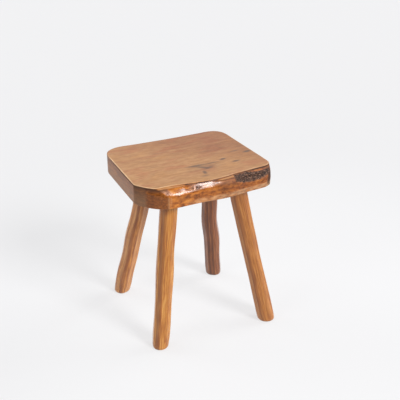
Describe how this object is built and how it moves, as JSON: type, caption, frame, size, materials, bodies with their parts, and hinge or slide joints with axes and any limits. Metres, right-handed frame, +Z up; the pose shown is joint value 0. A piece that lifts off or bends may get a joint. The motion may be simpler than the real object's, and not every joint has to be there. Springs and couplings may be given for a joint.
{
  "type": "rustic wooden stool",
  "caption": "Rustic hardwood stool: thick live-edge slab seat with one clipped corner and a bark pocket, on splayed hand-shaved legs set in blind wedged sockets.",
  "frame": {"origin": "on the floor, under the middle of the stool's bounding box", "axes": "+Z up; +X to the right along the seat's long side and its grain; +Y to the back, away from the live edge"},
  "size_m": [0.373, 0.3508, 0.45],
  "materials": {
    "seat_wood": "satin varnished slab with a glossy live edge",
    "leg_wood": "satin varnished, hand shaved",
    "wedge_wood": "bare split wood"
  },
  "bodies": {
    "root": {"seat": "seat_wood", "leg_front_left": "leg_wood", "leg_front_right": "leg_wood", "leg_back_left": "leg_wood", "leg_back_right": "leg_wood", "wedge_front_left": "wedge_wood", "wedge_front_right": "wedge_wood", "wedge_back_left": "wedge_wood", "wedge_back_right": "wedge_wood"}
  },
  "joints": []
}
